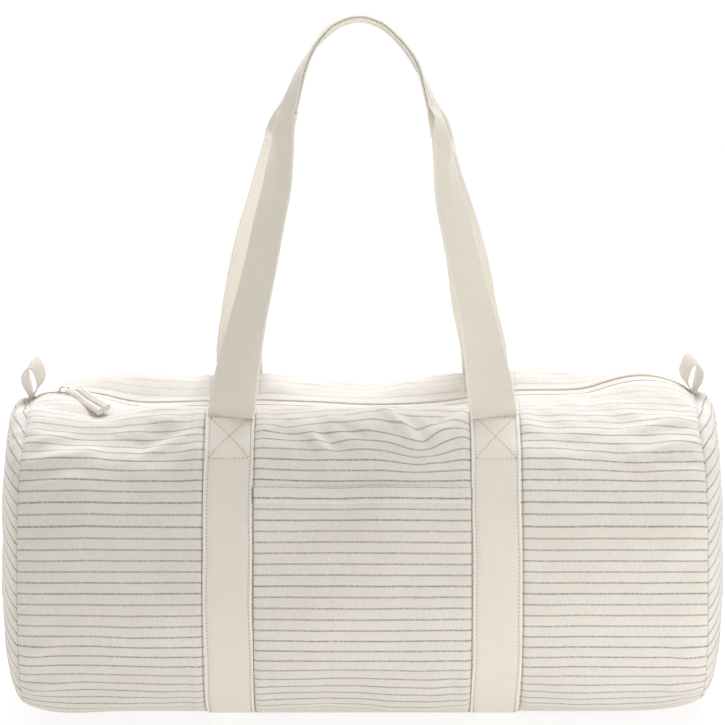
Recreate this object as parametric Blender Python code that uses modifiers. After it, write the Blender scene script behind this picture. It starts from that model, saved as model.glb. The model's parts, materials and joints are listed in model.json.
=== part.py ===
"""A canvas weekender bag: a slumped barrel with a top zip, a slip pocket, two girth straps, two tall handles.

Metres, +Z up. The origin is on the floor under the middle of the bag, -Y is the pocket side, +X is to the
right of somebody who faces the pocket. The girth straps are what touches the floor.
"""

import math

import bmesh
import bpy
from mathutils import Vector

# Driving dimensions
SEAM_X = 0.2650  # end seam, either side of the middle
CANVAS = 0.0016
TOUCH = 0.0003  # clearance between pieces that touch
WELD = 0.00001
STRAP_WIDTH = 0.0380
STRAP_THICK = 0.0020
STRAP_X = 0.1035  # middle of each girth strap
GRIP_WIDTH = STRAP_WIDTH / 2  # the strap folded in half lengthwise
GRIP_THICK = 0.0034
FLOOR_TO_BODY = STRAP_THICK + TOUCH

# Half of the body's outer outline as (y outward, z), from the zip edge round to the middle of the base
ZIP_EDGE = 0.0075
OUTLINE = (
    (ZIP_EDGE, 0.2455),
    (0.0300, 0.2448),
    (0.0520, 0.2422),
    (0.0740, 0.2360),
    (0.0920, 0.2250),
    (0.1080, 0.2080),
    (0.1280, 0.1650),
    (0.1400, 0.1150),
    (0.1410, 0.0800),
    (0.1320, 0.0450),
    (0.1120, 0.0160),
    (0.0910, 0.0048),
    (0.0700, FLOOR_TO_BODY),
)
OUTLINE_STEPS = 28
BODY_MIDDLE_Z = 0.1150

# Domed ends: rings of the outline that shrink towards the middle
END_BULGE = 0.0205
END_RINGS = 6
END_CROWDING = 1.6  # above 1, the rings lie closer together near the rim
END_ROUNDNESS = 0.8  # below 1, the dome rises steeply from its rim

# Front pocket
POCKET_THICK = 0.0012
POCKET_HALF = STRAP_X - STRAP_WIDTH / 2 - POCKET_THICK - TOUCH
POCKET_SNUG = 0.0006  # how far the lower pocket stands off the body
POCKET_ROOM = 0.0078  # and the mouth
POCKET_MOUTH_Z = 0.1905
POCKET_SNUG_Z = 0.1250
POCKET_FULL_Z = 0.1600
POCKET_END_Y = 0.0600
POCKET_ROWS = 26
POCKET_MARGIN = 0.0030  # outline points this near the mouth or the foot are left out
POCKET_ACROSS = (  # (place from side to side, share of the room behind the mouth)
    (-1.0, 0.0),
    (-0.93, 0.55),
    (-0.84, 1.0),
    (0.0, 1.0),
    (0.84, 1.0),
    (0.93, 0.55),
    (1.0, 0.0),
)

# Zip
ZIP_HALF_LENGTH = 0.2535
TAPE_OUTER_Y = 0.0155
TAPE_THICK = 0.0008
TAPE_TOP = OUTLINE[0][1] - CANVAS - TOUCH
ZIP_SLOT = 0.0011  # half the way that the slider's wedge runs in
COIL_WIDTH = 0.0030
COIL_HEIGHT = 0.0022
COIL_TOP = TAPE_TOP - TAPE_THICK - TOUCH
SLIDER_X = -0.2400
SLIDER_LENGTH = 0.0125
SLIDER_WIDTH = 0.0096
SLIDER_PLATE = 0.0013
WEDGE_HALF = 0.0008
WEDGE_LENGTH = 0.0060
JOIN = 0.0005  # how far pieces that are joined into one run into each other
CUT_REACH = 0.0200  # how far a cutter reaches past what it cuts
BAIL_LENGTH = 0.0084
BAIL_WIDTH = 0.0020
BAIL_HEIGHT = 0.0050
BAIL_WINDOW = (0.0056, 0.0034)

# Pull: a wire link in the slider's bail and a folded canvas puller on the link
PULL_AZIMUTH = math.radians(-52.0)
WIRE = 0.00065
LINK_LENGTH = 0.0085
LINK_HALF_WIDTH = 0.0048
LINK_CORNER = 0.0016
LINK_RISE = math.radians(8.5)
PULLER_LENGTH = 0.0560
PULLER_WIDTH = 0.0120
PULLER_NECK = 0.0076
PULLER_NECK_LENGTH = 0.0040
PULLER_HALF_THICK = 0.0015
PULLER_FALL = math.radians(-2.7)
EYE_OUTER = 0.0022
EYE_INNER = 0.0011

# End tabs: a looped tape standing on each end of the zip
TAB_FOOT = 0.0015  # radius of the rounded foot that it flexes on
TAB_HALF = (  # half of the outer outline as (x, height above the hinge line)
    (TAB_FOOT, 0.0),
    (0.0021, 0.0038),
    (0.0045, 0.0095),
    (0.0067, 0.0150),
    (0.0075, 0.0195),
    (0.0067, 0.0245),
    (0.0040, 0.0281),
    (0.0, 0.0295),
)
TAB_STEPS = 30
TAB_OPEN_X = 0.0022  # the two layers part where the outline is wider than this
TAB_TAPE_WIDTH = 0.0200
TAB_THICK = 0.0014
TAB_X = SEAM_X + 0.0010
TAB_HINGE_Z = 0.2475

# Seam binding inside each end
BINDING_WIDTH = 0.0100
BINDING_THICK = 0.0010
BINDING_DEPTH = 0.0033  # from the body's outer face
BINDING_INSET = 0.0005  # from the end seam

# Handles: half of the middle line as (x, height above the hinge along the leaning plane)
HINGE_Y = 0.0740  # where the straps leave the body, either side of the zip
HINGE_LIFT = 0.0014  # hinge line above the girth strap's outer face
HANDLE_HALF = (
    (STRAP_X, 0.0),
    (0.0978, 0.034),
    (0.0913, 0.068),
    (0.0842, 0.100),
    (0.0705, 0.170),
    (0.0592, 0.225),
    (0.0530, 0.249),
    (0.0480, 0.270),
    (0.0395, 0.291),
    (0.0230, 0.307),
    (0.0, 0.3125),
)
HANDLE_TOP_Y = 0.0122
BACK_HANDLE_EXTRA = 0.0045  # the rear handle stands this much taller
HANDLE_FOOT = 0.0022  # the handle starts this far above its hinge line
HANDLE_STEPS = 56
EASING_ROUNDS = 6
# Along the handle from its foot: (distance, turn in degrees, width, thickness)
HANDLE_SHAPE = (
    (0.000, 0.0, STRAP_WIDTH, STRAP_THICK),
    (0.035, 15.0, STRAP_WIDTH, STRAP_THICK),
    (0.070, 36.0, STRAP_WIDTH, STRAP_THICK),
    (0.110, 47.0, STRAP_WIDTH, STRAP_THICK),
    (0.185, 48.0, STRAP_WIDTH, STRAP_THICK),
    (0.235, 46.0, 0.0225, 0.0030),
    (0.252, 44.0, GRIP_WIDTH, GRIP_THICK),
    (0.300, 84.0, GRIP_WIDTH, GRIP_THICK),
    (0.320, 90.0, GRIP_WIDTH, GRIP_THICK),
)

CREAM = (0.79, 0.75, 0.66)
STRIPED = (0.74, 0.71, 0.66)
COTTON_TAPE = (0.80, 0.76, 0.66)
NYLON = (0.70, 0.62, 0.47)
METAL = (0.62, 0.61, 0.59)


def clear_scene():
    for obj in list(bpy.data.objects):
        bpy.data.objects.remove(obj, do_unlink=True)


def new_collection(name, hidden=False):
    collection = bpy.data.collections.new(name)
    bpy.context.scene.collection.children.link(collection)
    collection.hide_render = hidden
    return collection


def make_material(name, colour, roughness, metallic=0.0):
    material = bpy.data.materials.new(name)
    material.use_nodes = True
    shader = material.node_tree.nodes["Principled BSDF"]
    shader.inputs["Base Color"].default_value = (*colour, 1.0)
    shader.inputs["Roughness"].default_value = roughness
    shader.inputs["Metallic"].default_value = metallic
    return material


def place(data, name, collection, material):
    """A new object for this mesh or curve, in the collection, with the material."""
    obj = bpy.data.objects.new(name, data)
    collection.objects.link(obj)
    data.materials.append(material)
    return obj


def mesh_object(name, points, faces, collection, material):
    mesh = bpy.data.meshes.new(name)
    mesh.from_pydata(points, [], faces)
    mesh.update()
    return place(mesh, name, collection, material)


def solidify(obj, thickness, offset):
    """Thickens the surface: offset -1 goes against its normals and 1 goes with them."""
    modifier = obj.modifiers.new("thickness", "SOLIDIFY")
    modifier.thickness = thickness
    modifier.offset = offset
    modifier.use_even_offset = True


def smooth(points, steps):
    """Evenly spaced points on a Catmull-Rom curve through the given ones."""
    per_span = 24
    ends = [2 * points[0] - points[1], *points, 2 * points[-1] - points[-2]]
    fine = []
    for a, b, c, d in zip(ends, ends[1:], ends[2:], ends[3:]):
        for i in range(per_span):
            t = i / per_span
            bend = (2 * a - 5 * b + 4 * c - d) * t * t + (3 * b - a - 3 * c + d) * t**3
            fine.append((2 * b + (c - a) * t + bend) / 2)
    fine.append(points[-1].copy())
    lengths = [0.0]
    for p, q in zip(fine, fine[1:]):
        lengths.append(lengths[-1] + (q - p).length)
    even = []
    k = 0
    for i in range(steps + 1):
        want = lengths[-1] * i / steps
        while k < len(fine) - 2 and lengths[k + 1] < want:
            k += 1
        even.append(fine[k].lerp(fine[k + 1], (want - lengths[k]) / (lengths[k + 1] - lengths[k])))
    return even


def between(table, at):
    """The row of values at this distance, straight between the table's rows."""
    if at >= table[-1][0]:
        return table[-1][1:]
    for low, high in zip(table, table[1:]):
        if at <= high[0]:
            t = (at - low[0]) / (high[0] - low[0])
            return [a + (b - a) * t for a, b in zip(low[1:], high[1:])]


def handle_shape(step, steps):
    """The turn, width and thickness at each step along the handle, eased so that nothing changes abruptly."""
    rows = [between(HANDLE_SHAPE, step * min(i, steps - i)) for i in range(steps + 1)]
    for _ in range(EASING_ROUNDS):
        inner = [[(a + 2 * b + c) / 4 for a, b, c in zip(*three)] for three in zip(rows, rows[1:], rows[2:])]
        rows = [rows[0], *inner, rows[-1]]
    return rows


def body_section():
    """The body's outer outline as (y, z), from the front zip edge down, under and up to the back zip edge."""
    half = smooth([Vector(p) for p in OUTLINE], OUTLINE_STEPS)
    front = [Vector((-p.x, p.y)) for p in half]
    return front + [Vector((p.x, p.y)) for p in reversed(half)]


def outward(section, closed=False):
    """The unit normals of a (y, z) outline, all pointing away from the bag's middle."""
    last = len(section) - 1
    normals = []
    for i, p in enumerate(section):
        ahead = section[(i + 1) % (last + 1)] if closed else section[min(i + 1, last)]
        behind = section[i - 1] if closed else section[max(i - 1, 0)]
        along = (ahead - behind).normalized()
        normal = Vector((along.y, -along.x))
        away = Vector((p.x, p.y - BODY_MIDDLE_Z))
        normals.append(normal if normal.dot(away) > 0 else -normal)
    return normals


def offset_section(section, distance, closed=False):
    return [p + n * distance for p, n in zip(section, outward(section, closed))]


def sheet(name, columns, collection, material):
    """An open surface through columns of equally many points, its normals facing away from the bag."""
    rows = len(columns[0])
    points = [p for column in columns for p in column]
    faces = []
    for c in range(len(columns) - 1):
        for r in range(rows - 1):
            corner = c * rows + r
            faces.append((corner, corner + 1, corner + rows + 1, corner + rows))
    return mesh_object(name, points, faces, collection, material)


def make_body(collection, section):
    """One canvas panel that runs from zip edge to zip edge right round the bag."""
    columns = [[(x, p.x, p.y) for p in section] for x in (-SEAM_X, SEAM_X)]
    body = sheet("body_panel", columns, collection, make_material("body_canvas", STRIPED, 0.9))
    solidify(body, CANVAS, -1)


def make_end_panel(side, name, collection, section):
    """A domed end: rings of the outline that shrink towards the middle as they bulge out."""
    rim_x = SEAM_X + CANVAS + TOUCH
    count = len(section)
    points = []
    for k in range(END_RINGS):
        scale = 1.0 - (k / END_RINGS) ** END_CROWDING
        x = rim_x + END_BULGE * (1 - scale * scale) ** END_ROUNDNESS
        for p in section:
            points.append((side * x, p.x * scale, BODY_MIDDLE_Z + (p.y - BODY_MIDDLE_Z) * scale))
    points.append((side * (rim_x + END_BULGE), 0.0, BODY_MIDDLE_Z))
    faces = []
    for k in range(END_RINGS - 1):
        for i in range(count):
            a, b = k * count + i, k * count + (i + 1) % count
            faces.append((a, b, b + count, a + count))
    last = (END_RINGS - 1) * count
    for i in range(count):
        faces.append((last + i, last + (i + 1) % count, len(points) - 1))
    if side < 0:
        faces = [face[::-1] for face in faces]
    panel = mesh_object(name, points, faces, collection, make_material(name + "_canvas", STRIPED, 0.9))
    solidify(panel, CANVAS, -1)


def make_binding(side, name, collection, section):
    """The cotton tape sewn over the raw edges of the end seam, inside the bag."""
    loop = offset_section(section, -BINDING_DEPTH, closed=True)
    loop.append(loop[0])
    outer = SEAM_X - BINDING_INSET
    columns = [[(side * x, p.x, p.y) for p in loop] for x in (outer - BINDING_WIDTH, outer)]
    if side < 0:
        columns.reverse()
    tape = sheet(name, columns, collection, make_material(name + "_tape", COTTON_TAPE, 0.85))
    bm = bmesh.new()
    bm.from_mesh(tape.data)
    bmesh.ops.remove_doubles(bm, verts=bm.verts, dist=WELD)
    bm.to_mesh(tape.data)
    bm.free()
    solidify(tape, BINDING_THICK, -1)


def at_height(section, height):
    """The front outline's first point at this height."""
    for p, q in zip(section, section[1:]):
        if p.y >= height > q.y:
            return p.lerp(q, (p.y - height) / (p.y - q.y))


def make_pocket(collection, section):
    """The slip pocket between the straps: its mouth stands open and its sides and foot lie on the body."""
    half = section[: len(section) // 2]
    mouth = at_height(half, POCKET_MOUTH_Z)
    inside = [p for p in half if p.y < mouth.y - POCKET_MARGIN and p.x < -POCKET_END_Y - POCKET_MARGIN]
    foot = Vector((-POCKET_END_Y, FLOOR_TO_BODY))
    rows = smooth([mouth, *inside, foot], POCKET_ROWS)
    normals = outward(rows)
    columns = []
    for place_across, fullness in POCKET_ACROSS:
        column = []
        for p, normal in zip(rows, normals):
            height = min(max((p.y - POCKET_SNUG_Z) / (POCKET_FULL_Z - POCKET_SNUG_Z), 0.0), 1.0)
            stand_off = POCKET_SNUG + (POCKET_ROOM - POCKET_SNUG) * fullness * height
            q = p + normal * stand_off
            column.append((place_across * POCKET_HALF, q.x, q.y))
        columns.append(column)
    pocket = sheet("front_pocket", columns, collection, make_material("pocket_canvas", STRIPED, 0.9))
    solidify(pocket, POCKET_THICK, 1)


def strap_rows(section):
    """The outline's points from the front hinge line, under the bag, to the back hinge line."""
    front_top = [i for i, p in enumerate(section) if p.x < 0 and p.y > BODY_MIDDLE_Z]
    first = min(front_top, key=lambda i: abs(section[i].x + HINGE_Y))
    return first, len(section) - 1 - first


def make_girth_strap(x, name, collection, section):
    first, last = strap_rows(section)
    face = offset_section(section, TOUCH)[first : last + 1]
    columns = [[(x + dx, p.x, p.y) for p in face] for dx in (-STRAP_WIDTH / 2, STRAP_WIDTH / 2)]
    strap = sheet(name, columns, collection, make_material(name + "_canvas", CREAM, 0.85))
    solidify(strap, STRAP_THICK, 1)


def hinge_line(section):
    """(y outward, z) of the line that a handle swings about, just above the end of the girth straps."""
    first, _ = strap_rows(section)
    point = offset_section(section, TOUCH + STRAP_THICK + HINGE_LIFT)[first]
    return -point.x, point.y


def make_handle(facing, name, extra, collection, section):
    """One handle: a flat strap that turns on edge as it rises and is folded in half round the grip."""
    hinge_y, hinge_z = hinge_line(section)
    rise = HANDLE_HALF[-1][1] + extra
    lean = math.asin((hinge_y - HANDLE_TOP_Y) / rise)
    up = Vector((0.0, -facing * math.sin(lean), math.cos(lean)))
    front = Vector((0.0, facing * math.cos(lean), math.sin(lean)))
    foot = Vector((0.0, facing * hinge_y, hinge_z))
    half = [Vector((x, h * rise / HANDLE_HALF[-1][1])) for x, h in HANDLE_HALF]
    half[0].y = HANDLE_FOOT
    guide = [Vector((-p.x, p.y)) for p in half] + half[-2::-1]
    flat = smooth(guide, HANDLE_STEPS)
    step = sum((q - p).length for p, q in zip(flat, flat[1:])) / HANDLE_STEPS
    points = []
    for i, (turn, width, thick) in enumerate(handle_shape(step, HANDLE_STEPS)):
        p = flat[i]
        along = (flat[min(i + 1, HANDLE_STEPS)] - flat[max(i - 1, 0)]).normalized()
        radial = Vector((-along.y, 0.0, 0.0)) + up * along.x
        turn = math.radians(turn)
        across = radial * math.cos(turn) - front * math.sin(turn)
        face = front * math.cos(turn) + radial * math.sin(turn)
        centre = foot + Vector((p.x, 0.0, 0.0)) + up * p.y
        for u, v in ((-1, -1), (1, -1), (1, 1), (-1, 1)):
            points.append(centre + across * (u * width / 2) + face * (v * thick / 2))
    faces = [(3, 2, 1, 0)]
    for i in range(HANDLE_STEPS):
        for k in range(4):
            a, b = 4 * i + k, 4 * i + (k + 1) % 4
            faces.append((a, b, b + 4, a + 4))
    faces.append(tuple(4 * HANDLE_STEPS + k for k in range(4)))
    handle = mesh_object(name, points, faces, collection, make_material(name + "_canvas", CREAM, 0.85))
    bm = bmesh.new()
    bm.from_mesh(handle.data)
    bmesh.ops.recalc_face_normals(bm, faces=bm.faces)
    bm.to_mesh(handle.data)
    bm.free()


def make_box(name, low, high, collection, material=None, bevel=0.0):
    """A box between two corners, from the cube primitive."""
    low, high = Vector(low), Vector(high)
    mesh = bpy.data.meshes.new(name)
    bm = bmesh.new()
    bmesh.ops.create_cube(bm, size=1.0)
    bmesh.ops.scale(bm, vec=high - low, verts=bm.verts)
    bm.to_mesh(mesh)
    bm.free()
    box = bpy.data.objects.new(name, mesh)
    collection.objects.link(box)
    box.location = (low + high) / 2
    if material:
        mesh.materials.append(material)
    if bevel:
        rounding = box.modifiers.new("rounding", "BEVEL")
        rounding.width = bevel
        rounding.segments = 2
    return box


def make_zip(collection):
    tape = make_material("zip_tape", COTTON_TAPE, 0.8)
    coil = make_material("zip_coil", NYLON, 0.45)
    for facing, side in ((-1, "front"), (1, "back")):
        tape_y = sorted((facing * ZIP_SLOT, facing * TAPE_OUTER_Y))
        make_box(
            "zip_tape_" + side,
            (-ZIP_HALF_LENGTH, tape_y[0], TAPE_TOP - TAPE_THICK),
            (ZIP_HALF_LENGTH, tape_y[1], TAPE_TOP),
            collection,
            tape.copy(),
        )
        coil_y = sorted((facing * ZIP_SLOT, facing * (ZIP_SLOT + COIL_WIDTH)))
        make_box(
            "zip_coil_" + side,
            (-ZIP_HALF_LENGTH, coil_y[0], COIL_TOP - COIL_HEIGHT),
            (ZIP_HALF_LENGTH, coil_y[1], COIL_TOP),
            collection,
            coil.copy(),
            bevel=0.0006,
        )


def boolean(obj, other, operation):
    modifier = obj.modifiers.new(operation.lower() + " " + other.name, "BOOLEAN")
    modifier.operation = operation
    modifier.object = other


def cutter(obj):
    obj.hide_render = True
    obj.display_type = "WIRE"
    return obj


def make_slider(collection, cutters):
    """Two plates joined by the wedge that parts the coils, with the bail on top."""
    plate_low = TAPE_TOP + TOUCH
    plate_top = plate_low + SLIDER_PLATE
    under_top = COIL_TOP - COIL_HEIGHT - TOUCH
    half = SLIDER_LENGTH / 2
    side = SLIDER_WIDTH / 2
    slider = make_box(
        "zip_slider",
        (SLIDER_X - half, -side, plate_low),
        (SLIDER_X + half, side, plate_top),
        collection,
        make_material("slider_metal", METAL, 0.3, 1.0),
        bevel=0.0004,
    )
    wedge_low = Vector((-half, -WEDGE_HALF, under_top - JOIN))
    wedge_high = Vector((-half + WEDGE_LENGTH, WEDGE_HALF, plate_low + JOIN))
    bail_low = Vector((-BAIL_LENGTH / 2, -BAIL_WIDTH / 2, plate_top - JOIN))
    bail_high = Vector((BAIL_LENGTH / 2, BAIL_WIDTH / 2, plate_top + BAIL_HEIGHT))
    under_low = Vector((-half, -side, under_top - SLIDER_PLATE))
    under_high = Vector((half, side, under_top))
    parts = {
        "slider_under_plate": (under_low, under_high),
        "slider_wedge": (wedge_low, wedge_high),
        "slider_bail": (bail_low, bail_high),
    }
    shift = Vector((SLIDER_X, 0.0, 0.0))
    for name, (low, high) in parts.items():
        other = cutter(make_box(name, low + shift, high + shift, cutters))
        boolean(slider, other, "UNION")
    window = make_box(
        "bail_window",
        (SLIDER_X - BAIL_WINDOW[0] / 2, -CUT_REACH, plate_top),
        (SLIDER_X + BAIL_WINDOW[0] / 2, CUT_REACH, plate_top + BAIL_WINDOW[1]),
        cutters,
    )
    boolean(slider, cutter(window), "DIFFERENCE")


def arc(radius, start, stop, steps):
    """Points on an arc about the origin, between two angles in degrees."""
    angles = [math.radians(start + (stop - start) * i / steps) for i in range(steps + 1)]
    return [(radius * math.cos(a), radius * math.sin(a)) for a in angles]


def pull_frame():
    """The wire's centre in the bail, the level direction that the link points in, and its hinge axis."""
    centre = Vector((SLIDER_X, 0.0, TAPE_TOP + TOUCH + SLIDER_PLATE + BAIL_WINDOW[1] / 2))
    level = Vector((math.cos(PULL_AZIMUTH), math.sin(PULL_AZIMUTH), 0.0))
    axis = Vector((-level.y, level.x, 0.0))
    return centre, level, axis


def make_link(collection):
    """The wire link that hangs in the bail."""
    centre, level, axis = pull_frame()
    along = level * math.cos(LINK_RISE) + Vector((0, 0, math.sin(LINK_RISE)))
    far = LINK_LENGTH - LINK_CORNER
    side = LINK_HALF_WIDTH - LINK_CORNER
    near = LINK_CORNER
    path = []
    for u, v, start in ((near, side, 90), (near, -side, 180), (far, -side, 270), (far, side, 0)):
        path += [(u + a, v + b) for a, b in arc(LINK_CORNER, start, start + 90, 4)]
    curve = bpy.data.curves.new("zip_pull", "CURVE")
    curve.dimensions = "3D"
    spline = curve.splines.new("POLY")
    spline.points.add(len(path) - 1)
    for point, (u, v) in zip(spline.points, path):
        point.co = (*(along * u + axis * v), 1.0)
    spline.use_cyclic_u = True
    curve.bevel_depth = WIRE
    curve.bevel_resolution = 2
    link = place(curve, "zip_pull", collection, make_material("pull_metal", METAL, 0.3, 1.0))
    link.location = centre


def flat_curve(name, outlines, half_depth, collection, material):
    """Closed outlines filled as one 2D curve with this half depth; an outline inside another is a hole."""
    curve = bpy.data.curves.new(name, "CURVE")
    curve.dimensions = "2D"
    curve.fill_mode = "BOTH"
    curve.extrude = half_depth
    for outline in outlines:
        spline = curve.splines.new("POLY")
        spline.points.add(len(outline) - 1)
        for point, (u, v) in zip(spline.points, outline):
            point.co = (u, v, 0.0, 1.0)
        spline.use_cyclic_u = True
    return place(curve, name, collection, material)


def to_mesh_object(obj):
    """The curve object's shape as a mesh object of the same name and place, with its caps welded."""
    graph = bpy.context.evaluated_depsgraph_get()
    mesh = bpy.data.meshes.new_from_object(obj.evaluated_get(graph))
    name, matrix, collection = obj.name, obj.matrix_world.copy(), obj.users_collection[0]
    bm = bmesh.new()
    bm.from_mesh(mesh)
    bmesh.ops.remove_doubles(bm, verts=bm.verts, dist=WELD)
    bmesh.ops.recalc_face_normals(bm, faces=bm.faces)
    bm.to_mesh(mesh)
    bm.free()
    bpy.data.objects.remove(obj, do_unlink=True)
    solid = bpy.data.objects.new(name, mesh)
    solid.matrix_world = matrix
    collection.objects.link(solid)
    return solid


def make_puller(collection, cutters):
    """The folded canvas puller: an eye round the link's outer wire, then a flat doubled tail."""
    centre, level, axis = pull_frame()
    along = level * math.cos(LINK_RISE) + Vector((0, 0, math.sin(LINK_RISE)))
    eye = centre + along * LINK_LENGTH
    tail = level * math.cos(PULLER_FALL) + Vector((0, 0, math.sin(PULLER_FALL)))
    outline = arc(EYE_OUTER, 40, 320, 12)
    outline += [(PULLER_LENGTH, -PULLER_HALF_THICK), (PULLER_LENGTH, PULLER_HALF_THICK)]
    hole = arc(EYE_INNER, 0, 330, 11)
    material = make_material("puller_canvas", CREAM, 0.85)
    puller = flat_curve("fabric_puller", (outline, hole), PULLER_WIDTH / 2, collection, material)
    normal = tail.cross(axis)
    turn = puller.matrix_world.to_3x3()
    turn.col[0], turn.col[1], turn.col[2] = tail, normal, tail.cross(normal)
    puller.matrix_world = turn.to_4x4()
    puller.location = eye
    bpy.context.view_layer.update()
    puller = to_mesh_object(puller)
    for side, word in ((-1, "a"), (1, "b")):
        low, high = sorted((side * PULLER_NECK / 2, side * CUT_REACH))
        block = make_box(
            "neck_side_" + word,
            (-CUT_REACH, -CUT_REACH, low),
            (PULLER_NECK_LENGTH, CUT_REACH, high),
            cutters,
        )
        block.data.transform(block.matrix_basis)
        block.matrix_world = puller.matrix_world
        boolean(puller, cutter(block), "DIFFERENCE")


def tab_outlines():
    """The outer and inner edges of a teardrop loop, as (x, z) from its hinge line."""
    half = [Vector(p) for p in TAB_HALF]
    loop = smooth(half + [Vector((-p.x, p.y)) for p in half[-2::-1]], TAB_STEPS)
    inner = []
    for behind, p, ahead in zip(loop, loop[1:], loop[2:]):
        along = (ahead - behind).normalized()
        if abs(p.x) > TAB_OPEN_X or p.y > TAB_HALF[-1][1] / 2:
            inner.append(p + Vector((-along.y, along.x)) * TAB_THICK)
    foot = [Vector(p) for p in arc(TAB_FOOT, 180, 360, 6)]
    return foot[1:-1] + loop, inner


def make_tab(side, name, collection):
    """A looped tape: a teardrop seen from the front, as deep as the tape is wide."""
    material = make_material(name + "_canvas", CREAM, 0.85)
    tab = flat_curve(name, tab_outlines(), TAB_TAPE_WIDTH / 2, collection, material)
    tab.rotation_euler = (math.pi / 2, 0.0, 0.0)
    tab.location = (side * TAB_X, 0.0, TAB_HINGE_Z)
    bpy.context.view_layer.update()
    to_mesh_object(tab)


def main():
    clear_scene()
    parts = new_collection("weekender_bag")
    cutters = new_collection("cutters", hidden=True)
    section = body_section()
    make_body(parts, section)
    make_pocket(parts, section)
    for side, word in ((-1, "left"), (1, "right")):
        make_end_panel(side, "end_panel_" + word, parts, section)
        make_binding(side, "seam_binding_" + word, parts, section)
        make_girth_strap(side * STRAP_X, "strap_" + word, parts, section)
        make_tab(side, "end_tab_" + word, parts)
    make_handle(-1, "front_handle", 0.0, parts, section)
    make_handle(1, "back_handle", BACK_HANDLE_EXTRA, parts, section)
    make_zip(parts)
    make_slider(parts, cutters)
    make_link(parts)
    make_puller(parts, cutters)


main()
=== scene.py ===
"""The looks of a canvas weekender bag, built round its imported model.

Metres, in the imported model's frame: +X along the zip, +Y from the pocket side to the back, +Z up. Every cloth
piece is worked out on one slumped surface, addressed by x and by s, the distance round the bag from the front
zip edge, down the front, under and up the back.
"""

import json
import math

import bmesh
import bpy
import numpy as np
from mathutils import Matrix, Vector


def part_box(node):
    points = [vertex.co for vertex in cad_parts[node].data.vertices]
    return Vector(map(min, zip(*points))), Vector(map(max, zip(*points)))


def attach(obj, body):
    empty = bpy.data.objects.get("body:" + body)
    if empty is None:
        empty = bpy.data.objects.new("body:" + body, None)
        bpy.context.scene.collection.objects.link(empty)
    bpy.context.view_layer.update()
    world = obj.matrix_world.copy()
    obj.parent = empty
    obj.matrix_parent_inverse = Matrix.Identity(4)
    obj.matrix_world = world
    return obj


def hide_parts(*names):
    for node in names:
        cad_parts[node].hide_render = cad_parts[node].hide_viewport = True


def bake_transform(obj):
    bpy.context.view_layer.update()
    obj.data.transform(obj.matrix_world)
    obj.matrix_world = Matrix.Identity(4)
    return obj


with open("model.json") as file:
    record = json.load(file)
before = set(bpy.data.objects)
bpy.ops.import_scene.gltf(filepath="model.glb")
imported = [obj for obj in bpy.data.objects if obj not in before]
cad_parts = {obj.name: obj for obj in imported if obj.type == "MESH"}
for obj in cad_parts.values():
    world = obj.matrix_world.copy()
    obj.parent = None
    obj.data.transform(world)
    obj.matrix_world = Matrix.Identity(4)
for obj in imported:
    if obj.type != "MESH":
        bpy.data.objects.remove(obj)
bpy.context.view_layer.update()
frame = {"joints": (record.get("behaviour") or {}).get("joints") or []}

# Sizes read from the frame
SEAM_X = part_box("body_panel")[1].x
STRAP_LOW, STRAP_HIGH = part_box("strap_right")
STRAP_X = (STRAP_LOW.x + STRAP_HIGH.x) / 2
STRAP_WIDTH = STRAP_HIGH.x - STRAP_LOW.x
TAPE_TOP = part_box("zip_tape_front")[1].z
TAPE_OUTER_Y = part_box("zip_tape_back")[1].y
ZIP_HALF_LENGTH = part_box("zip_tape_front")[1].x
JOINT_AT = {joint["name"]: np.array(joint.get("pos_m", (0, 0, 0)), float) for joint in frame["joints"]}
HINGE = JOINT_AT["back_handle_swing"]

# Half of the body's outer outline as (y outward, z), from the zip edge round to the middle of the base
ZIP_EDGE = 0.0075
OUTLINE = (
    (ZIP_EDGE, 0.2455), (0.03, 0.2448), (0.052, 0.2422), (0.074, 0.236), (0.092, 0.225), (0.108, 0.208),
    (0.128, 0.165), (0.14, 0.115), (0.141, 0.08), (0.132, 0.045), (0.112, 0.016), (0.091, 0.0048), (0.07, 0.0023),
    (0, 0.0023),
)
MIDDLE_Z = 0.115
CANVAS = 0.0009
TURNED_DOWN = 0.0008
WELD = 0.00002
STRAP_THICK = 0.002
STRAP_FLOOR = 0.00004
STITCH_INSET = 0.003
BOX_STITCH = (0.0012, 0.0432)  # its edges' distances from the hinge line

# How the zip line sags between its ends, as (x, height)
ZIP_SAG = (
    (-0.265, -0.0045), (-0.256, -0.0012), (-0.24, 0), (-0.225, -0.0004), (-0.208, -0.004), (-0.19, -0.0088),
    (-0.17, -0.0108), (-0.13, -0.01), (-0.09, -0.0092), (-0.04, -0.0105), (0.01, -0.0125), (0.06, -0.0105),
    (0.1, -0.005), (0.122, -0.0016), (0.166, -0.001), (0.182, 0.0006), (0.194, 0.0042), (0.208, 0.0082),
    (0.222, 0.0104), (0.234, 0.0104), (0.244, 0.0088), (0.256, 0.0052), (0.265, 0.0002),
)
# How far the back panel's edge stands above the zip line, as (x, height)
BACK_LIP = (
    (-0.265, 0), (-0.23, 0.0006), (-0.19, 0.0024), (-0.1, 0.003), (0, 0.0026), (0.1, 0.003), (0.15, 0.0032),
    (0.21, 0.0036), (0.24, 0.0024), (0.265, 0),
)
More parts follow.
